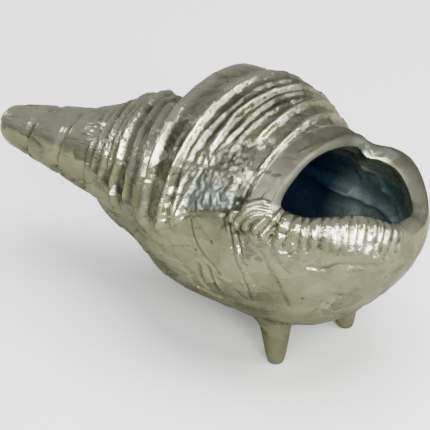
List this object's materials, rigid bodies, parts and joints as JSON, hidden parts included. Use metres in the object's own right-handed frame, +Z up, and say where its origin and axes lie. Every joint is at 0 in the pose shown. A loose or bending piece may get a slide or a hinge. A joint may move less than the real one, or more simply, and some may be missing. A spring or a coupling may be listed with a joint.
{
  "type": "conch shell ornament",
  "caption": "Cast-metal conch shell with a ribbed body, a tapering spire and a deep open mouth behind a ridged rolled lip, standing on short peg feet as a desk or shelf ornament.",
  "frame": {"origin": "centre of the bounding box's underside, in the plane of the foot soles", "axes": "+X runs along the shell's axis from the pointed spire towards the mouth, +Y from the ridged near lip towards the far side, +Z up"},
  "size_m": [0.1, 0.0483, 0.0561],
  "materials": {
    "cast_metal": "satin"
  },
  "bodies": {
    "root": {"conch_shell": "cast_metal"}
  },
  "joints": []
}
